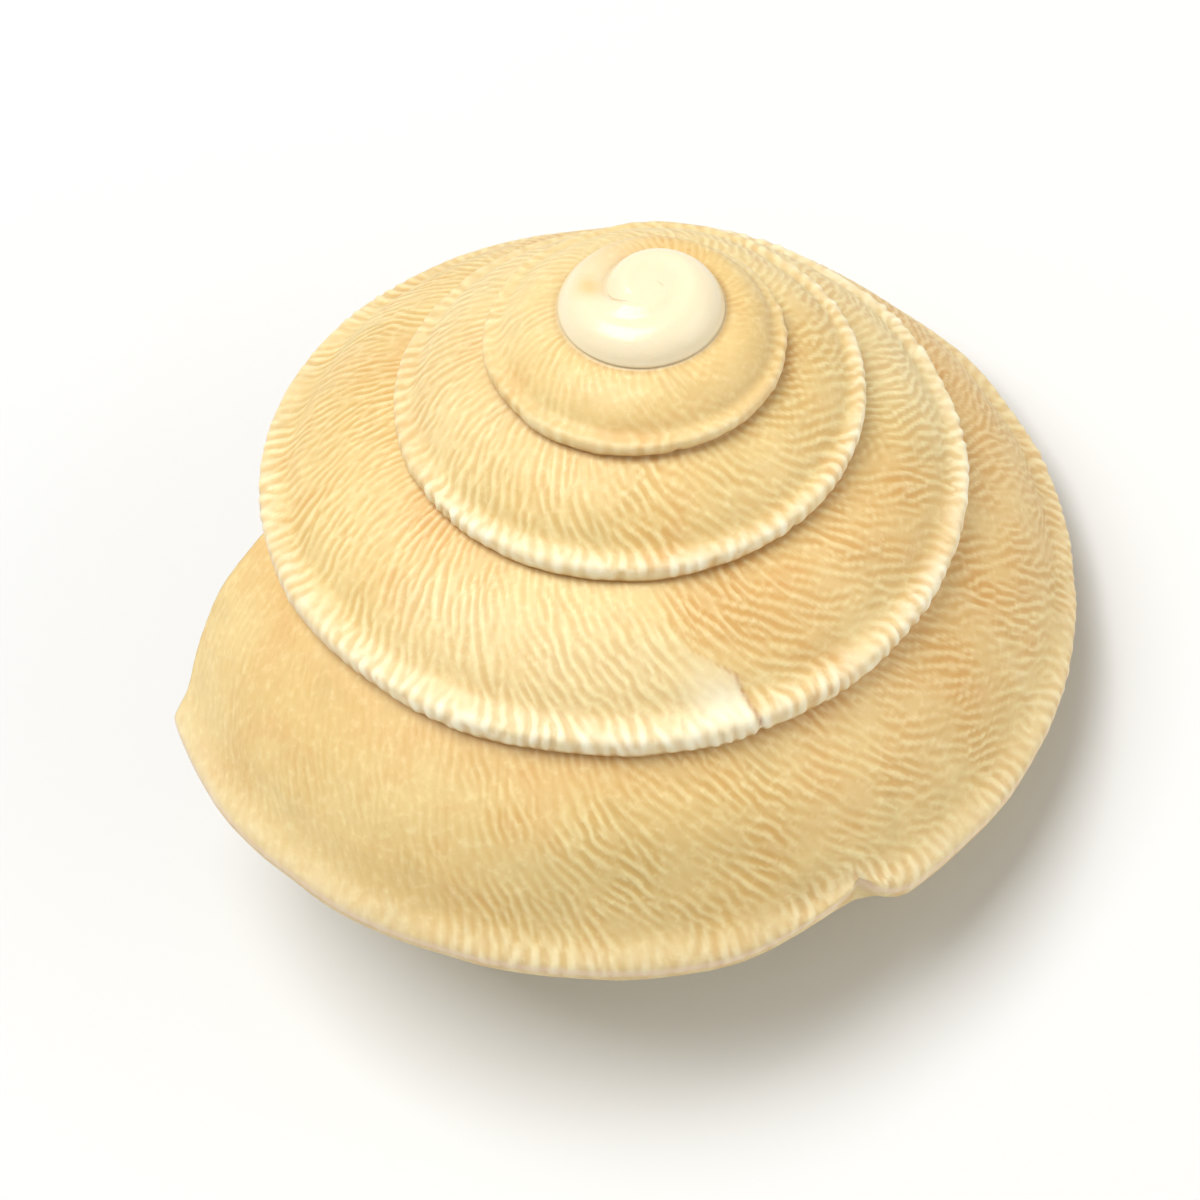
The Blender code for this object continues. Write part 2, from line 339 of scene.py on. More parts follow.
def loft_upper_side(surface, apex):
    """The spire and the body whorl from above. Returns the keel's points, the widths and the lip's row."""
    top = LIP + LIP_SLANT - 1.0
    turns = stations(FIRST_SECTION, top, STEP_ROUND, STEP_YOUNG)
    turns = np.concatenate([turns, stations(turns[-1], LIP, STEP_ROUND)[1:]])
    lean = slant(turns)
    sides = [
        knot(turns + lean * (1.0 - share), point) for point, (share, _) in zip(upper_side(turns), UPPER_SIDE)
    ]
    top_edge, tip, lower, _ = keel_knots(turns)
    start = knot(turns + lean, suture(turns + lean - 1.0))
    upper = smooth_line([beyond(sides[0], start), start] + sides + [top_edge, tip, lower])
    before = turns + lean - 1.0
    edge, edge_tip, edge_lower, edge_suture = keel_knots(before)
    under = smooth_line([edge, edge_tip, edge_lower, edge_suture, beyond(edge_lower, edge_suture)])
    widths = np.linalg.norm(np.diff(upper[..., 1:3], axis=1), axis=2).sum(axis=1)

    rows, first_column, keel_line = [], [], [(0.0, apex)]
    under_shares = np.arange(1, UNDER_COLUMNS + 1) / UNDER_COLUMNS
    for t, back, upper_line, under_line, width in zip(turns, before, upper, under, widths):
        step = STEP_YOUNG if t < SMOOTH_WHORLS else STEP_ACROSS
        columns = max(int(round(width / step / 2.0)) * 2, 8)
        even = np.arange(1, columns + 1) / columns
        points, across = spread(upper_line, even + 0.3 * even * (1.0 - even))
        row, places = surface.row(UPPER, points, across, width), even
        if back > FIRST_SECTION:
            points, across = spread(under_line, under_shares)
            whole = float(np.interp(back, turns, widths))
            row = surface.row(UNDER, points, whole + across, whole) + row
            places = np.concatenate([under_shares - 1.0, even])
        first_column.append((back, row[0]))
        keel_line.append((t, row[-1]))
        rows.append((row, places))
    ring = [(t, vert) for t, vert in keel_line if t <= top + 1e-9]
    surface.zip_rows(
        [vert for _, vert in ring], [vert for _, vert in first_column],
        [t for t, _ in ring], [t for t, _ in first_column],
    )
    for (left, left_places), (right, right_places) in zip(rows, rows[1:]):
        surface.zip_rows(left, right, left_places, right_places)
    for a, b in zip(rows[0][0], rows[0][0][1:]):
        surface.face(apex, a, b)
    return keel_line, (turns, widths), rows[-1][0]


BASE_KNOTS = len(BASE_SIDE)
# The knots of a base line: where the keel's underside, its suture, the parietal wall and the
# umbilicus begin, and how many columns cross each stretch.
STRETCHES = ((UNDER, 0, 2, UNDER_COLUMNS), (BASE, 2, 3, 3), (BASE, 3, 8, PARIETAL_COLUMNS), (BASE, 8, 9, 2))
PARIETAL_FROM = UNDER_COLUMNS + 2
PARIETAL_TO = PARIETAL_FROM + PARIETAL_COLUMNS


def base_line(t, lean):
    """The fine line of the base from its keel to the umbilicus, leaning as the lip does."""
    edge, tip, lower, suture = keel_knots(t + lean)
    side = []
    for number in range(BASE_KNOTS):
        u = t + lean * (1.0 - number / (BASE_KNOTS - 1))
        side.append(knot(u, base_side(u)[number]))
    return smooth_line([edge, tip, lower, suture] + side + [beyond(side[-2], side[-1])])


def base_stretch(line, first, last):
    """The stretch of a base line between two of its knots."""
    return line[..., first * LINE_STEPS : last * LINE_STEPS + 1, :]


def loft_base(surface, keel_line, lip_row, widths, roof):
    """The body whorl's base, from its keel to the umbilicus. Returns its rows."""
    start = LIP - 1.0
    turns = stations(start, LIP, STEP_BASE)
    lean = LIP_SLANT * (1.0 - ease(turns, start, start + SLANT_FROM))
    lines = base_line(turns, lean)
    rows = []
    for index, (t, line) in enumerate(zip(turns, lines)):
        row, passed = [], float(np.interp(t, *widths))
        for part, first, last, columns in STRETCHES:
            shares = np.arange(1, columns + 1) / columns
            points, across = spread(base_stretch(line, first, last), shares)
            if part == UNDER and index == 0:
                row += lip_row[:UNDER_COLUMNS]
            else:
                row += surface.row(part, points, passed + across, BODY_WIDTH)
            passed += across[-1]
        rows.append(row)
    tips = [(t, vert) for t, vert in keel_line if t >= start + LIP_SLANT - 1e-9]
    edge = [(t + further, row[0]) for t, further, row in zip(turns, lean, rows)]
    surface.zip_rows([v for _, v in tips], [v for _, v in edge], [t for t, _ in tips], [t for t, _ in edge])
    for left, right in zip(rows, rows[1:]):
        surface.zip_rows(left, right)
        surface.face(roof, left[-1], right[-1])
    return rows


def inner_knots(t, lean):
    """The hollow's outline along the outer wall and the floor, with its place on the lip."""
    thick = wall(t)
    upper = upper_side(t, thick)
    floor = base_side(t, thick)
    corner = (upper[-1] + floor[0]) / 2.0 + pair(thick * HOLLOW_IN_KEEL, np.zeros_like(thick))
    knots = [knot(t + lean * (1.0 - share), p) for (share, _), p in zip(UPPER_SIDE, upper)]
    return knots + [knot(t, p) for p in [corner] + floor]


def loft_hollow(surface, first_base):
    """The hollow, which follows the whorls back from the mouth. Returns its first loop."""
    turns = stations(HOLLOW_FROM, LIP, STEP_HOLLOW)[::-1]
    lean = slant(turns)
    parietal = base_stretch(base_line(turns - 1.0, lean), 3, 8)
    knots = inner_knots(turns, lean)
    begin, end = parietal[..., 0, :3], parietal[..., -1, :3]
    begin = begin + np.array((1.0, 0.0, 0.0))
    end = end + np.array((1.0, 0.0, 0.0))
    walls = smooth_line([beyond(knots[0], begin), begin] + knots + [end, beyond(knots[-1], end)])
    shares = np.arange(1, WALL_COLUMNS) / WALL_COLUMNS
    loops = []
    for index, (parietal_line, wall_line) in enumerate(zip(parietal, walls)):
        points, across = spread(wall_line, shares)
        outer = surface.row(HOLLOW, points, across, BODY_WIDTH)
        if index == 0:
            inner = first_base[PARIETAL_FROM : PARIETAL_TO + 1]
        else:
            points, across = spread(parietal_line, np.arange(PARIETAL_COLUMNS + 1) / PARIETAL_COLUMNS)
            inner = surface.row(HOLLOW, points, across, BODY_WIDTH)
        loops.append((inner, outer))
    for (inner, outer), (next_inner, next_outer) in zip(loops, loops[1:]):
        left = inner[:1] + outer + inner[:0:-1] + inner[:1]
        right = next_inner[:1] + next_outer + next_inner[:0:-1] + next_inner[:1]
        surface.zip_rows(left, right)
    inner, outer = loops[-1]
    last = inner[:1] + outer + inner[:0:-1]
    middle = np.mean([p for p in surface.rows[-1][:, :3]], axis=0)[None, :]
    close = surface.row(HOLLOW, middle, np.zeros(1), BODY_WIDTH)[0]
    for a, b in zip(last, last[1:] + last[:1]):
        surface.face(close, a, b)
    return loops[0]


# Places on the lip, counted in knots from the suture: the keel's tip, where the base ends, and the
# umbilicus's roof. The inner edge starts into the mouth, follows the wall and comes out of it.
LIP_TIP = 6.0
LIP_BASE_END = 9.0 + BASE_KNOTS
LIP_ROOF = 20.0
INTO_MOUTH = (0.0, 0.4)
LIP_WALL = (0.6, 16.5)
OUT_OF_MOUTH = (17.0, LIP_ROOF)


def loft_rim(surface, upper_row, base_rows, loop, roof):
    """The lip's edge, which closes the shell round the mouth."""
    upper_row = upper_row[UNDER_COLUMNS - 1 :]
    upper_places = np.linspace(0.0, LIP_TIP, len(upper_row))
    first_row, last_row = base_rows[0], base_rows[-1]
    last_places = np.linspace(LIP_TIP, LIP_BASE_END, len(last_row) + 1)[1:]
    parietal, outer_wall = loop
    into = first_row[UNDER_COLUMNS - 1 : PARIETAL_FROM]
    out_of = first_row[PARIETAL_TO:]
    outside = upper_row + last_row + [roof]
    outside_places = np.concatenate([upper_places, last_places, [LIP_ROOF]])
    inside = into + [parietal[0]] + outer_wall + out_of + [roof]
    inside_places = np.concatenate([
        np.linspace(*INTO_MOUTH, len(into) + 1),
        np.linspace(*LIP_WALL, len(outer_wall)),
        np.linspace(*OUT_OF_MOUTH, len(out_of) + 1),
    ])
    surface.zip_rows(outside, inside, outside_places, inside_places)


def hashed(*keys):
    """Three even random numbers for each set of whole keys, the same in each run."""
    value = np.zeros(np.shape(keys[0]), np.uint64)
    with np.errstate(over="ignore"):
        for key in keys:
            whole = np.asarray(key).astype(np.int64).astype(np.uint64)
            value = (value ^ whole) * np.uint64(0x9E3779B97F4A7C15)
            value ^= value >> np.uint64(29)
        found = []
        for _ in range(3):
            value = value * np.uint64(0xBF58476D1CE4E5B9) + np.uint64(0x94D049BB133111EB)
            value ^= value >> np.uint64(31)
            found.append((value >> np.uint64(11)).astype(float) / float(1 << 53))
    return found


def cloud(places, size, seed):
    """Soft noise from -1 to 1 over places, with lumps of a size."""
    scaled = places / size
    corner = np.floor(scaled).astype(np.int64)
    f = scaled - corner
    f = f * f * (3.0 - 2.0 * f)
    total = np.zeros(len(places))
    dims = places.shape[1]
    for bits in range(1 << dims):
        offset = np.array([(bits >> k) & 1 for k in range(dims)])
        weight = np.prod(np.where(offset, f, 1.0 - f), axis=1)
        keys = [corner[:, k] + offset[k] for k in range(dims)]
        total += weight * (hashed(*keys, np.full(len(places), seed))[0] * 2.0 - 1.0)
    return total


# The wrinkles: the cells that seed them and how far each strays from its neighbours.
RIDGE_CELL = 0.8
RIDGE_IMPULSES = 7
RIDGE_WIDTH = 0.21
RIDGE_LENGTH = 0.33
RIDGE_STRAY = 0.55
RIDGE_PACE = 0.35


def ridges(round_mm, across_mm, tilt, spacing):
    """Wavy ridges that fork and join: their height from -1 to 1, and how clear they are."""
    cell_a = np.floor(round_mm / RIDGE_CELL).astype(np.int64)
    cell_b = np.floor(across_mm / RIDGE_CELL).astype(np.int64)
    real = np.zeros(len(round_mm))
    imaginary = np.zeros(len(round_mm))
    for step_a in (-1, 0, 1):
        for step_b in (-1, 0, 1):
            for impulse in range(RIDGE_IMPULSES):
                number = np.full(len(cell_a), impulse)
                x, y, phase = hashed(cell_a + step_a, cell_b + step_b, number)
                stray, pace, _ = hashed(cell_a + step_a, cell_b + step_b, number + RIDGE_IMPULSES)
                cos_tilt = np.cos(tilt + RIDGE_STRAY * (stray - 0.5))
                sin_tilt = np.sin(tilt + RIDGE_STRAY * (stray - 0.5))
                da = round_mm - (cell_a + step_a + x) * RIDGE_CELL
                db = across_mm - (cell_b + step_b + y) * RIDGE_CELL
                over = da * cos_tilt + db * sin_tilt
                down = db * cos_tilt - da * sin_tilt
                weight = np.exp(-((over / RIDGE_WIDTH) ** 2) - (down / RIDGE_LENGTH) ** 2)
                turn = 2.0 * math.pi / (spacing * (1.0 + RIDGE_PACE * (pace - 0.5)))
                angle = turn * over + 2.0 * math.pi * phase
                real += weight * np.cos(angle)
                imaginary += weight * np.sin(angle)
    strength = np.hypot(real, imaginary)
    return real / np.maximum(strength, 1e-9), ease(strength, 0.1, 0.9)


def ridge_tilt(t, share):
    """How far the ridges lean from straight out, towards the young whorls (radians)."""
    lean = 30.0 + 17.0 * np.cos(2.0 * math.pi * (t - 0.08))
    return np.radians(lean) * (1.0 - ease(share, 0.72, 0.97))


def around(t, low, high, soft):
    """1 between two values of t, and 0 beyond them by more than soft."""
    return ease(t, low - soft, low) * (1.0 - ease(t, high, high + soft))


def spot(t, share, at, wide, centre, tall):
    """A soft round mark, 1 at its middle, with its half widths in whorls and in shares."""
    return np.exp(-(((t - at) / wide) ** 2) - ((share - centre) / tall) ** 2)


# The wrinkles (mm): how far apart they are, how much wider near the keel and finer on the young
# whorls, how high there and how much higher on older ones. Their lean drifts (radians).
WRINKLE_SPACING = 0.228
WRINKLE_WIDENS = 0.060
WRINKLE_FINER = 0.045
WRINKLE_YOUNG = 0.008
WRINKLE_OLDER = 0.006
WRINKLE_DRIFT = 0.28
WRINKLE_SHARP = 1.5
# The keel's beads (mm): on the young whorls, what two later stretches add and what the body whorl loses.
BEAD_YOUNG = 0.010
BEAD_THIRD = 0.020
BEAD_FOURTH = 0.008
BEAD_BODY = 0.018
# Dents, as (height, size, seed), and grains: everywhere, on young whorls and on the spire's keels (mm).
LARGE_DENTS = (0.05, 1.9, 1)
SMALL_DENTS = (0.016, 0.8, 2)
GRAIN = 0.007
GRAIN_YOUNG = 0.007
GRAIN_AT_KEEL = 0.012
# The growth lines by the lip (mm).
LINE_SPACING = 0.13
LINE_HEIGHT = 0.004
LINE_DRIFT = 0.05
# The old mended break: its line over the fourth whorl, from the suture to the keel, the step up to
# its newer side and how soon that sinks (mm), and the pale patch beside it.
MEND_SHARES = (0.0, 0.15, 0.27, 0.47, 0.56, 0.65, 0.83, 1.0)
MEND_WHORLS = (4.285, 4.252, 4.240, 4.224, 4.214, 4.204, 4.200, 4.196)
MEND_STEP = 0.026
MEND_REACH = 0.45
MEND_LINE = 0.045
MEND_PATCH = (4.212, 0.016, 0.80, 0.22)
# Where growth paused, further on: its whorl, its ridge's half width and its height (mm).
PAUSE_AT = 5.068
PAUSE_WIDTH = 0.13
PAUSE_HEIGHT = 0.018
# Small nicks in the keels, as (whorls, mm deep, mm wide).
NICKS = ((4.196, 0.10, 0.10), (2.22, 0.05, 0.10), (3.14, 0.05, 0.08), (5.1675, 0.15, 0.16))
# Amber spots, as (strength, whorls, half width, share, half height), and the olive one.
AMBER_SPOTS = (
    (0.8, 4.40, 0.05, 0.12, 0.16), (0.7, 3.03, 0.03, 0.10, 0.10), (0.8, 5.17, 0.03, 0.03, 0.07),
    (0.8, 2.10, 0.02, 0.95, 0.10), (1.2, 1.515, 0.035, 0.32, 0.18),
)
OLIVE_SPOT = (5.25, 0.085, 0.52, 0.22)


def faded_keel(t):
    """Where the young keels all but vanish, at the left and the back."""
    return np.maximum(around(t, 2.45, 2.80, 0.08), around(t, 3.45, 3.75, 0.06))


def distance_round(t):
    """How far round the middle of its upper side a whorl has come from the apex (mm)."""
    grid = np.linspace(0.0, LIP + LIP_SLANT, 2000)
    middle = np.maximum((keel(grid)[..., 0] + np.maximum(suture(grid - 1.0)[..., 0], 0.0)) / 2.0, 0.05)
    steps = math.pi * (middle[1:] + middle[:-1]) * np.diff(grid)
    return np.interp(t, grid, np.concatenate([[0.0], np.cumsum(steps)]))


def hump(t, at, radius, width):
    """1 where t is at a place round the whorl, and 0 beyond it by more than about a width (mm)."""
    return np.exp(-(((t - at) * 2.0 * math.pi * radius / width) ** 2))


def dress(data):
    """How far each point is moved out along the surface (mm), and the masks for its colours."""
    t, radius, height, across, width, part = data.T
    share = across / width
    round_mm = distance_round(t)
    upper, under, base, hollow = (part == name for name in (UPPER, UNDER, BASE, HOLLOW))
    top = np.where(upper, 1.0, 0.0)
    outside = np.where(upper | under, 1.0, 0.0)
    angle = 2.0 * math.pi * t
    places = np.column_stack([radius * np.cos(angle), -radius * np.sin(angle), height])
    wear, fleck, drift = cloud(places, 0.9, 3), cloud(places, 0.28, 4), cloud(places, 1.6, 5)
    dents = [tall * cloud(places, size, seed) for tall, size, seed in (LARGE_DENTS, SMALL_DENTS)]

    ringed = ease(t, SMOOTH_WHORLS, SMOOTH_WHORLS + 0.35)
    older = ease(t, 2.0, 3.0)
    body = ease(t, 4.25, 4.6)
    near_lip = ease(t, LIP - 0.20, LIP - 0.09)
    fade = faded_keel(t)
    at_keel = ease(share, 0.80, 0.97)
    spacing = WRINKLE_SPACING + WRINKLE_WIDENS * ease(share, 0.75, 0.97) - WRINKLE_FINER * (1.0 - older)
    ridge, clear = ridges(round_mm, across, ridge_tilt(t, share) + WRINKLE_DRIFT * drift, spacing)
    ridge = 2.0 * ((1.0 + ridge) / 2.0) ** WRINKLE_SHARP - 1.0
    clear = clear * np.clip(0.70 + 0.65 * wear, 0.15, 1.3) * (0.45 + 0.55 * ease(t, 2.2, 3.0))

    wrinkles = (WRINKLE_YOUNG + WRINKLE_OLDER * older) * ringed * ease(share, 0.0, 0.08)
    beads = BEAD_YOUNG + BEAD_THIRD * ease(t, 2.4, 3.3) + BEAD_FOURTH * ease(t, 3.6, 4.2) - BEAD_BODY * body
    beads = beads * ringed * (1.0 - 0.85 * fade) * (0.9 + 0.5 * wear)
    amount = (wrinkles + (beads - wrinkles) * at_keel) * (1.0 - 0.85 * near_lip)
    amount = np.where(under, amount * (1.0 - ease(share, 1.0, 1.12)), amount) * outside
    grains = GRAIN + GRAIN_YOUNG * (1.0 - older) + GRAIN_AT_KEEL * at_keel * (1.0 - body)
    outward = ridge * clear * amount
    outward += dents[0] * ringed * np.where(hollow, 0.0, 1.0)
    outward += (dents[1] + grains * fleck) * ringed * outside

    growth = np.sin(2.0 * math.pi * (round_mm + LINE_DRIFT * drift) / LINE_SPACING) * (0.6 + 0.4 * wear)
    outward += LINE_HEIGHT * growth * near_lip * outside * (1.0 - at_keel)
    mend = (t - np.interp(share, MEND_SHARES, MEND_WHORLS)) * 2.0 * math.pi * radius
    newer, past = np.where(mend > 0.0, 1.0, 0.0), np.where(mend < 0.0, 1.0, 0.0)
    mended = around(t, 4.1, 4.4, 0.05) * outside
    outward += MEND_STEP * newer * np.exp(-np.abs(mend) / MEND_REACH) * mended * ease(share, 0.1, 0.5)
    pause = hump(t, PAUSE_AT, radius, PAUSE_WIDTH) * outside
    outward += PAUSE_HEIGHT * pause * ease(share, 0.1, 0.3)
    rim = ease(share, 0.90, 0.99) * (1.0 - ease(share, 1.06, 1.15)) * outside
    for at, deep, wide in NICKS:
        outward -= deep * hump(t, at, radius, wide) * rim

    patch = spot(t, share, *MEND_PATCH) * newer * outside
    amber = 0.75 * around(t, 4.75, 5.13, 0.10) * (1.0 - 0.75 * ease(share, 0.25, 0.75))
    amber = amber + 0.65 * around(t, 4.06, 4.21, 0.05) * past * (1.0 - 0.7 * ease(share, 0.4, 0.8))
    amber = amber + 0.6 * around(t, 5.24, LIP, 0.08) * (1.0 - ease(share, 0.08, 0.30))
    for strength, *mark in AMBER_SPOTS:
        amber = amber + strength * spot(t, share, *mark)
    pale = 0.8 * around(t, 4.23, 4.36, 0.05) * newer * ease(share, 0.15, 0.5)
    pale = pale + 0.55 * around(t, 3.45, 3.95, 0.10) + 0.5 * around(t, 2.5, 2.9, 0.1) + 0.4 * pause
    pale = pale + body * 0.5 * ease(share, 0.80, 0.97)
    white_keel = ease(share, 0.76, 0.98) * np.where(under, 1.0 - ease(share, 1.02, 1.08), top)
    white_keel = white_keel * (0.35 + 0.65 * ease(t, 2.4, 3.1)) * (1.0 - 0.8 * fade) * (1.0 - 0.7 * body)
    # Painted shadow with some real stain: rust along the suture below the keel above, and on the keel's
    # underside, where shade falls.
    by_suture = (1.0 - ease(across, 0.03, 0.20)) * top * (0.25 + 0.75 * ringed) * ease(t, 1.3, 1.5)
    under_keel = np.where(under, ease(share, 1.03, 1.10), 0.0) * (1.0 - body) * ringed
    masks = {
        # The wrinkles' height, which also paints shade in their hollows and highlight on their crests,
        # besides their own colour.
        "ridge": ridge * clear * outside * ringed * (1.0 - 0.8 * near_lip) * (1.0 - 0.6 * patch),
        "keel": white_keel * ringed * (0.85 + 0.5 * fleck),
        # Painted shadow with some stain, along the sutures and under the keels.
        "stain_and_shadow": by_suture + under_keel,
        "amber": np.clip(amber * (0.8 + 0.5 * wear), 0.0, 1.0) * top,
        "olive": spot(t, share, *OLIVE_SPOT) * (0.8 + 0.5 * drift) * top,
        "pale": np.clip(pale * (0.85 + 0.4 * wear), 0.0, 1.0) * outside,
        "white": np.clip(patch * 1.2 * (0.9 + 0.4 * fleck), 0.0, 1.0),
        # Painted shade: greyish pink where the body whorl's rim turns under.
        "edge": body * ease(share, 0.965, 1.0) * (1.0 - ease(share, 1.02, 1.06)) * outside,
        "crack": np.exp(-((mend / MEND_LINE) ** 2)) * mended * ease(share, 0.5, 0.65) * top,
        "young": outside * (1.0 - ringed),
        "within": np.where(hollow, 1.0, 0.0),
        "below": np.where(base, 1.0, 0.0),
        "growth": growth * near_lip * outside,
    }
    return outward, masks


def round_apex(data):
    """Melts the suture of the first half whorl into a smooth dome."""
    t, radius, part = data[:, 0], data[:, 1], data[:, 5]
    first = (part <= UNDER) & (t < DOME_WHORLS)
    radius = np.where(first, np.maximum(radius, 0.0), radius)
    lap = np.where(t < 1.0, t, t - 1.0)
    seam_radius = keel(lap)[:, 0]
    seam = (1.0 - ease(lap, SEAM_FROM - SEAM_FADES, SEAM_FROM)) * np.where(t < 1.0 + SEAM_FROM, 1.0, 0.0)
    seam = seam * (1.0 - ease(np.abs(radius - seam_radius), 0.2 * SEAM_REACH, SEAM_REACH))
    centre = 1.0 - ease(radius, DOME_INNER, DOME_OUTER)
    weight = np.where(first, np.maximum(centre, seam), 0.0)
    beyond_seam = (part == UNDER) | (t >= 1.0)
    radius = radius + np.where(beyond_seam, weight * np.maximum(seam_radius - radius, 0.0), 0.0)
    data[:, 1] = radius
    data[:, 2] += weight * (DOME_TOP - DOME_FALL * radius**2 - data[:, 2])


def grow_shell():
    """The whole surface, as a mesh in the shell's own frame, and its masks."""
    surface = Surface()
    apex = surface.row(UPPER, np.array([[0.0, 0.0, KEEL_HEIGHT[0]]]), np.zeros(1), 1.0)[0]
    keel_line, widths, lip_row = loft_upper_side(surface, apex)
    roof = surface.row(BASE, np.array([[LIP, 0.0, UMBILICUS_ROOF]]), np.zeros(1), BODY_WIDTH)[0]
    base_rows = loft_base(surface, keel_line, lip_row, widths, roof)
    loft_rim(surface, lip_row, base_rows, loft_hollow(surface, base_rows[0]), roof)
    data = np.concatenate(surface.rows)
    round_apex(data)
    angle = -2.0 * math.pi * data[:, 0]
    places = np.column_stack([data[:, 1] * np.cos(angle), data[:, 1] * np.sin(angle), data[:, 2]])
    mesh = bpy.data.meshes.new("snail_shell")
    mesh.from_pydata(places.tolist(), [], surface.faces)
    form = bmesh.new()
    form.from_mesh(mesh)
    bmesh.ops.recalc_face_normals(form, faces=form.faces)
    form.to_mesh(mesh)
    form.free()
    normals = np.zeros(len(places) * 3)
    mesh.vertex_normals.foreach_get("vector", normals)
    outward, masks = dress(data)
    places = places + normals.reshape(-1, 3) * outward[:, None]
    mesh.vertices.foreach_set("co", places.ravel())
    for name, values in masks.items():
        mesh.attributes.new(name, "FLOAT", "POINT").data.foreach_set("value", values.astype(np.float32))
    form = bmesh.new()
    form.from_mesh(mesh)
    bmesh.ops.remove_doubles(form, verts=form.verts, dist=WELD)
    bmesh.ops.dissolve_degenerate(form, dist=WELD, edges=form.edges)
    form.to_mesh(mesh)
    form.free()
    return mesh


def pose():
    """How the shell leans at rest and turns, from its own frame in millimetres to metres."""
    heading = math.radians(REST_HEADING)
    hinge = Vector((-math.sin(heading), math.cos(heading), 0.0))
    lean = Matrix.Rotation(math.radians(REST_LEAN), 4, hinge)
    return Matrix.Rotation(math.radians(MOUTH_TURN), 4, "Z") @ lean @ Matrix.Scale(MM, 4)


def lay_down(mesh):
    """Lays the mesh where the solid lies. Returns the whole move, from the shell's frame to the world."""
    mesh.transform(pose())
    places = np.zeros(len(mesh.vertices) * 3)
    mesh.vertices.foreach_get("co", places)
    places = places.reshape(-1, 3)
    ground = places[:, 2].min() + WORN_FLAT * MM
    places[:, 2] = np.maximum(places[:, 2], ground)
    mesh.vertices.foreach_set("co", places.ravel())
    low, high = places.min(axis=0), places.max(axis=0)
    solid_low, solid_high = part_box("shell")
    shift = Vector((
        (solid_low.x + solid_high.x - low[0] - high[0]) / 2.0,
        (solid_low.y + solid_high.y - low[1] - high[1]) / 2.0,
        solid_low.z - low[2],
    ))
    mesh.transform(Matrix.Translation(shift))
    return Matrix.Translation(shift) @ pose()


# The camera, in the shell's own frame: its height over the horizon of the shell (degrees), its
# distance (mm), its roll and turn, and where the axis stands from the middle of the picture (mm).
VIEW_HEIGHT = 50.0
VIEW_DISTANCE = 93.0
VIEW_ROLL = -1.32
VIEW_TURN = 0.8
AXIS_RIGHT = 1.15
AXIS_UP = 6.36
LENS = 135.0
SENSOR = 36.0


def make_camera(move):
    rise = math.radians(VIEW_HEIGHT)
    roll = math.radians(VIEW_ROLL)
    right = Vector((1.0, 0.0, 0.0))
    up = Vector((0.0, math.sin(rise), math.cos(rise)))
    back = Vector((0.0, -math.cos(rise), math.sin(rise)))
    x_axis = math.cos(roll) * right - math.sin(roll) * up
    y_axis = math.sin(roll) * right + math.cos(roll) * up
    place = VIEW_DISTANCE * back - AXIS_RIGHT * x_axis - AXIS_UP * y_axis
    turned = Matrix.Rotation(math.radians(VIEW_TURN), 4, "Z")
    stand = Matrix.Translation(place) @ Matrix((x_axis, y_axis, back)).transposed().to_4x4()
    world = move @ turned @ stand
    camera = bpy.data.objects.new("camera", bpy.data.cameras.new("camera"))
    bpy.context.scene.collection.objects.link(camera)
    camera.data.lens = LENS
    camera.data.sensor_width = SENSOR
    camera.data.clip_start = 0.001
    place, turn, _ = world.decompose()
    camera.matrix_world = Matrix.LocRotScale(place, turn, None)
    bpy.context.scene.camera = camera
    return camera


class Nodes:
    """Short ways to add and link the nodes of one material."""

    def __init__(self, name):
        self.material = bpy.data.materials.new(name)
        self.material.use_nodes = True
        self.tree = self.material.node_tree
        self.shader = self.tree.nodes["Principled BSDF"]

    def link(self, value, socket):
        if isinstance(value, bpy.types.NodeSocket):
            self.tree.links.new(value, socket)
        else:
            socket.default_value = value

    def attribute(self, name):
        node = self.tree.nodes.new("ShaderNodeAttribute")
        node.attribute_name = name
        return node.outputs["Fac"]

    def times(self, a, b):
        node = self.tree.nodes.new("ShaderNodeMath")
        node.operation = "MULTIPLY"
        self.link(a, node.inputs[0])
        self.link(b, node.inputs[1])
        return node.outputs[0]

    def fit(self, value, low, high, out_low=0.0, out_high=1.0):
        node = self.tree.nodes.new("ShaderNodeMapRange")
        node.interpolation_type = "SMOOTHSTEP"
        self.link(value, node.inputs["Value"])
        node.inputs["From Min"].default_value = low
        node.inputs["From Max"].default_value = high
        node.inputs["To Min"].default_value = out_low
        node.inputs["To Max"].default_value = out_high
        return node.outputs[0]

    def mix(self, factor, a, b):
        node = self.tree.nodes.new("ShaderNodeMix")
        node.data_type = "RGBA"
        self.link(factor, node.inputs[0])
        self.link(a, node.inputs[6])
        self.link(b, node.inputs[7])
        return node.outputs[2]

    def noise(self, size, detail):
        """Noise with lumps of a size in mm."""
        place = self.tree.nodes.new("ShaderNodeTexCoord").outputs["Object"]
        mapping = self.tree.nodes.new("ShaderNodeMapping")
        mapping.inputs["Scale"].default_value = [1.0 / (size * MM)] * 3
        self.link(place, mapping.inputs["Vector"])
        node = self.tree.nodes.new("ShaderNodeTexNoise")
        self.link(mapping.outputs[0], node.inputs["Vector"])
        node.inputs["Scale"].default_value = 1.0
        node.inputs["Detail"].default_value = detail
        node.inputs["Roughness"].default_value = 0.55
        return node.outputs[0]

    def bump(self, height, distance):
        node = self.tree.nodes.new("ShaderNodeBump")
        node.inputs["Strength"].default_value = 1.0
        node.inputs["Distance"].default_value = distance
        self.link(height, node.inputs["Height"])
        return node.outputs[0]


def colour(red, green, blue):
    """A linear colour from its red, green and blue from 0 to 255."""
    values = [c / 255.0 for c in (red, green, blue)]
    return tuple(c / 12.92 if c <= 0.04045 else ((c + 0.055) / 1.055) ** 2.4 for c in values) + (1.0,)


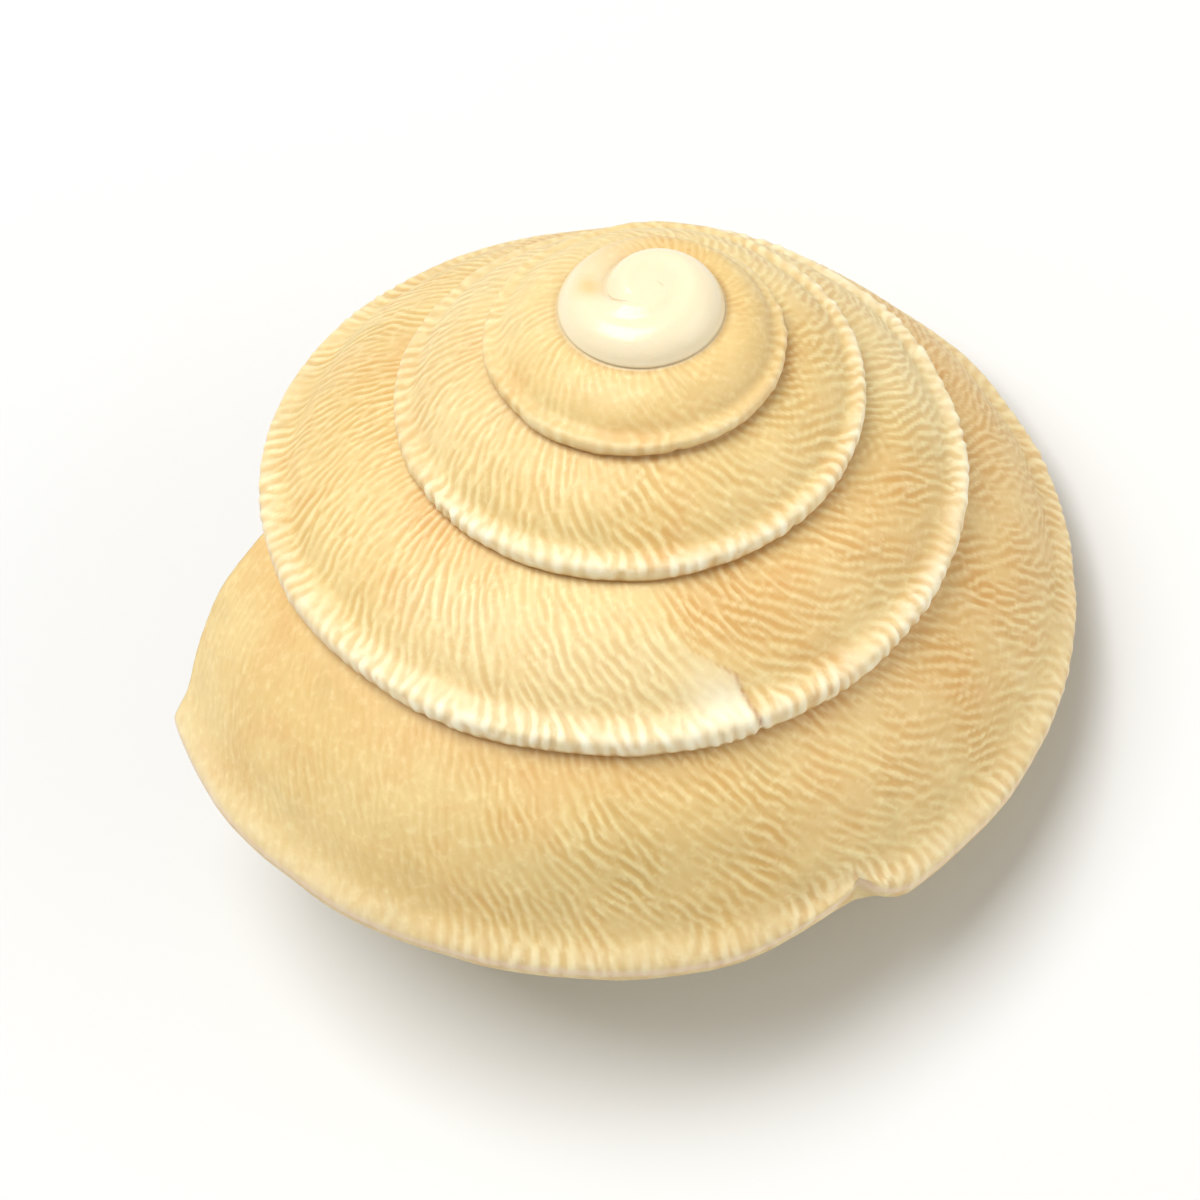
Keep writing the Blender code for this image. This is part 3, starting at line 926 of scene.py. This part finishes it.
YELLOW = colour(231, 205, 138)
TAN = colour(222, 188, 116)
OLIVE = colour(190, 168, 104)
AMBER = colour(214, 154, 76)
GOLD = colour(226, 178, 84)
# HOLLOW_TAN and RAISED colour the wrinkles' hollows and crests: partly their own colour, partly painted shade
# and painted highlight.
HOLLOW_TAN = colour(198, 148, 74)
RAISED = colour(250, 236, 184)
PALE = colour(240, 226, 178)
WHITE = colour(250, 242, 214)
# RUST is painted shadow with some stain along the sutures and under the keels, and the colour of the mended
# crack.
RUST = colour(168, 104, 42)
# Painted shade of the body whorl's rim where it turns under.
SHADED_RIM_PINK = colour(238, 208, 184)
MILKY = colour(238, 223, 188)
LINING = colour(238, 224, 196)


def shell_finish():
    """Yellow and tan with paler wrinkles, white on the keels, a smooth milky apex and a pale lining, with
    painted shadow and some stain in rust along the sutures and under the keels.
    """
    n = Nodes("shell_finish")
    ridge = n.attribute("ridge")
    broad = n.noise(4.0, 2.0)
    patches = n.noise(1.4, 4.0)
    grain = n.noise(0.22, 3.0)
    ground = n.mix(n.fit(broad, 0.38, 0.62), YELLOW, TAN)
    ground = n.mix(n.fit(patches, 0.52, 0.70, 0.0, 0.35), ground, OLIVE)
    ground = n.mix(n.fit(patches, 0.32, 0.48, 0.40, 0.0), ground, AMBER)
    ground = n.mix(n.times(n.attribute("amber"), 0.70), ground, AMBER)
    ground = n.mix(n.times(n.attribute("olive"), 0.65), ground, OLIVE)
    ground = n.mix(n.times(n.attribute("pale"), 0.65), ground, PALE)
    # The wrinkles' own colour, with painted shade in their hollows and painted highlight on their crests.
    hollow = n.mix(0.34, ground, HOLLOW_TAN)
    raised = n.mix(0.42, ground, RAISED)
    skin = n.mix(n.fit(ridge, -0.9, 0.9), hollow, raised)
    skin = n.mix(n.fit(grain, 0.30, 0.70, 0.12, 0.0), skin, HOLLOW_TAN)
    skin = n.mix(n.fit(grain, 0.50, 0.80, 0.0, 0.25), skin, RAISED)
    skin = n.mix(n.fit(n.attribute("growth"), 0.1, 1.0, 0.0, 0.16), skin, RAISED)
    # Painted shade: greyish pink on the body whorl's rim where it turns under.
    skin = n.mix(n.times(n.attribute("edge"), 0.6), skin, SHADED_RIM_PINK)
    skin = n.mix(n.times(n.attribute("keel"), n.fit(ridge, -0.9, 0.6, 0.30, 0.90)), skin, WHITE)
    skin = n.mix(n.times(n.attribute("white"), 0.62), skin, WHITE)
    milky = n.mix(n.times(n.attribute("amber"), 0.5), MILKY, GOLD)
    skin = n.mix(n.attribute("young"), skin, milky)
    # Painted shadow with some stain: rust along the sutures and under the keels.
    skin = n.mix(n.times(n.attribute("stain_and_shadow"), 0.62), skin, RUST)
    skin = n.mix(n.times(n.attribute("crack"), 0.6), skin, RUST)
    skin = n.mix(n.times(n.attribute("below"), 0.5), skin, PALE)
    skin = n.mix(n.attribute("within"), skin, LINING)
    n.link(skin, n.shader.inputs["Base Color"])
    n.link(n.fit(n.attribute("young"), 0.0, 1.0, 0.50, 0.24), n.shader.inputs["Roughness"])
    n.shader.inputs["Subsurface Weight"].default_value = 0.15
    n.shader.inputs["Subsurface Radius"].default_value = (1.0, 0.6, 0.3)
    n.shader.inputs["Subsurface Scale"].default_value = 0.0005
    n.link(n.bump(grain, 0.00001), n.shader.inputs["Normal"])
    return n.material


def make_shell():
    mesh = grow_shell()
    move = lay_down(mesh)
    mesh.shade_smooth()
    mesh.materials.append(shell_finish())
    shell = bpy.data.objects.new("snail_shell", mesh)
    bpy.context.scene.collection.objects.link(shell)
    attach(shell, "root")
    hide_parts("shell")
    return shell, move


def make_floor():
    bpy.ops.mesh.primitive_plane_add(size=2.0)
    floor = bpy.context.object
    floor.name = "floor"
    n = Nodes("pale_floor")
    n.shader.inputs["Base Color"].default_value = (0.75, 0.75, 0.74, 1.0)
    n.shader.inputs["Roughness"].default_value = 0.9
    floor.data.materials.append(n.material)


# The lights: places by the camera's up, right and back (m), sizes (m) and powers (W).
LIGHT_DISTANCE = 0.30
KEY_PLACE, KEY_SIZE, KEY_POWER = (0.55, -0.45, 0.75), 0.20, 0.9
FILL_PLACE, FILL_SIZE, FILL_POWER = (0.1, 0.8, 0.6), 0.25, 0.25
SKY_STRENGTH = 0.45


def make_light(name, place, size, power):
    """A soft square light that looks at the shell, with its place in metres."""
    light = bpy.data.objects.new(name, bpy.data.lights.new(name, "AREA"))
    bpy.context.scene.collection.objects.link(light)
    light.data.size = size
    light.data.energy = power
    light.location = place
    light.rotation_euler = (-Vector(place)).to_track_quat("-Z", "Y").to_euler()


def make_lights(camera):
    """A large key light high on the camera's left, a weaker one on its right, and a soft sky."""
    turn = camera.matrix_world.to_3x3()
    right, up, back = turn.col[0], turn.col[1], turn.col[2]
    for name, (high, aside, near), size, power in (
        ("key_light", KEY_PLACE, KEY_SIZE, KEY_POWER),
        ("fill_light", FILL_PLACE, FILL_SIZE, FILL_POWER),
    ):
        place = LIGHT_DISTANCE * (high * up + aside * right + near * back)
        make_light(name, tuple(place), size, power)
    world = bpy.data.worlds.new("sky")
    world.use_nodes = True
    world.node_tree.nodes["Background"].inputs["Color"].default_value = (1.0, 1.0, 1.0, 1.0)
    world.node_tree.nodes["Background"].inputs["Strength"].default_value = SKY_STRENGTH
    bpy.context.scene.world = world
    bpy.context.scene.view_settings.view_transform = "Standard"


shell, shell_move = make_shell()
make_floor()
make_lights(make_camera(shell_move))
